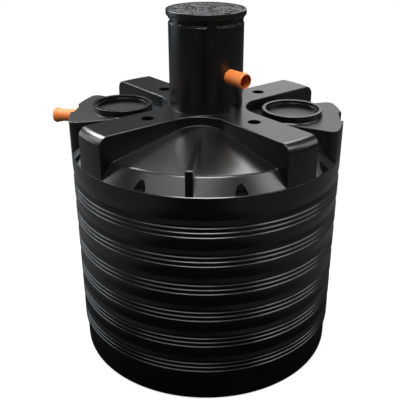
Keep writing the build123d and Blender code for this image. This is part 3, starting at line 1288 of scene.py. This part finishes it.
@dataclass
class Studio:
    """Pale floor, soft lamps and the camera at the photograph's place."""

    distance: float = 5.6088
    height: float = 4.0176
    azimuth: float = 6.1
    pitch: float = 25.38
    focal_pixels: float = 657.4
    centre_pixels: float = 206.1
    image: float = 400.0
    floor_half: float = 60.0
    floor_matt: float = 0.25
    floor_glow: float = 0.78
    floor_fade: tuple[float, float] = (1.6, 3.4)
    mirrored_near: float = 0.01
    mirrored_aside: float = 0.09
    mirrored_fade: tuple[float, float] = (1.2, 2.8)
    mirrored_world: float = 0.11
    softboxes: tuple[Softbox, ...] = (
        Softbox("left_key", -126.0, 46.0, 4.2, 4.0, 22.0),
        Softbox("left_high", -95.0, 32.0, 4.4, 4.4, 3.2),
        Softbox("left_wall", -106.0, 9.0, 8.0, 4.5, 1.8, (0.90, 0.94, 1.0)),
        Softbox("front_high", -22.0, 47.0, 11.0, 3.6, 2.0),
        Softbox("right_key", 74.0, 44.0, 5.0, 4.6, 4.6),
        Softbox("right_side", 98.0, 24.0, 4.4, 5.4, 2.2),
        Softbox("back_key", 171.0, 52.0, 6.4, 5.6, 6.0),
        Softbox("back_low", 166.0, 22.0, 6.8, 4.4, 1.2),
        Softbox("overhead", 0.0, 73.0, 6.0, 5.0, 15.0),
    )

    def build(self) -> None:
        """Build the floor, the lamps, the world and the camera."""
        self.floor()
        self.camera()
        self.world()
        for softbox in self.softboxes:
            softbox.build()
            LOG.info("%s", softbox.name)

    def floor(self) -> None:
        """Build the pale floor, which fades into the white background away from the tank.

        Other rays than the camera's see it dark near the tank and grey at its sides, because
        the photograph's black walls mirror no white.
        """
        corners = self.floor_half * np.array([(-1, -1, 0), (1, -1, 0), (1, 1, 0), (-1, 1, 0)])
        mesh = bpy.data.meshes.new("studio_floor")
        mesh.from_pydata(corners, [], [(0, 1, 2, 3)])
        ground = bpy.data.objects.new("studio_floor", mesh)
        bpy.context.scene.collection.objects.link(ground)
        material, tree = new_material("studio_floor")
        seen = tree.node("ShaderNodeLightPath", out="Is Camera Ray")
        away = tree.node("ShaderNodeVectorMath", {"operation": "LENGTH"}, {0: tree.place()}, out="Value")
        aside = tree.node("ShaderNodeMath", {"operation": "ABSOLUTE"}, {0: tree.aside()})
        dark, grey = tree.matt(self.mirrored_near), tree.matt(self.mirrored_aside)
        mirrored = tree.blend(tree.fade(aside, *self.mirrored_fade), dark, grey)
        lit = {0: tree.matt(self.floor_matt), 1: tree.glow("ShaderNodeEmission", self.floor_glow)}
        near = tree.node("ShaderNodeAddShader", {}, lit)
        pale = tree.blend(tree.fade(away, *self.floor_fade), near, tree.glow("ShaderNodeEmission", 1.0))
        tree.node("ShaderNodeOutputMaterial", {}, {"Surface": tree.blend(seen, mirrored, pale)})
        mesh.materials.append(material)

    def world(self) -> None:
        """Set the world: white to the camera and a faint grey to everything else."""
        world = bpy.data.worlds.new("studio_world")
        bpy.context.scene.world = world
        world.use_nodes = True
        tree = Tree(world.node_tree)
        seen = tree.node("ShaderNodeLightPath", out="Is Camera Ray")
        dim = tree.glow("ShaderNodeBackground", self.mirrored_world)
        white = tree.glow("ShaderNodeBackground", 1.0)
        tree.node("ShaderNodeOutputWorld", {}, {"Surface": tree.blend(seen, dim, white)})

    def camera(self) -> None:
        """Add the camera, at a distance from the tank's axis and tilted down."""
        turn = math.radians(self.azimuth)
        lens = bpy.data.cameras.new("camera")
        lens.sensor_width = 36.0
        lens.lens = self.focal_pixels / self.image * lens.sensor_width
        lens.shift_x = -(self.centre_pixels - 0.5 * self.image) / self.image
        lens.clip_end = 200.0
        made = bpy.data.objects.new("camera", lens)
        made.location = (self.distance * math.sin(turn), -self.distance * math.cos(turn), self.height)
        made.rotation_euler = (math.radians(90.0 - self.pitch), 0.0, turn)
        bpy.context.scene.collection.objects.link(made)
        bpy.context.scene.camera = made


def main() -> None:
    """Load the frame, build the pieces in order and dress everything."""
    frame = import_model()
    bpy.context.scene.view_settings.view_transform = "Standard"
    Studio().build()
    diagonal = math.sqrt(0.5)
    parts = [
        TankWall(),
        Roof(),
        Gusset("gusset_front", -1.0),
        Gusset("gusset_back", 1.0),
        AccessShaft(),
        CoverSet(),
        Upstand("upstand_right", 1.0),
        Upstand("upstand_left", -1.0),
        PipeConnection("inlet", (0.0, 0.0, 2.15), (-1.0, 0.0, 0.0), 1.14, 1.387),
        PipeConnection(
            "outlet", (0.0, 0.0, 2.604), (diagonal, -diagonal, 0.0), 0.284, 0.512,
            sleeve=0.0625, socket_length=0.216,
        ),
    ]
    dresser = Dresser()
    for part in parts:
        for piece in part.build():
            dresser.dress(piece, Slot(piece["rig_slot"]))
    edged = ("platform_left", "platform_right")
    slots = {entry["node"]: Slot(entry["material_slot"]) for entry in frame["record"]["subparts"]}
    for name, node in frame["nodes"].items():
        dresser.dress(node, slots[name], name in edged)
        LOG.info("dressed %s", name)


logging.basicConfig(level=logging.INFO, format="%(name)s %(message)s")
if __name__ == "__main__":
    main()
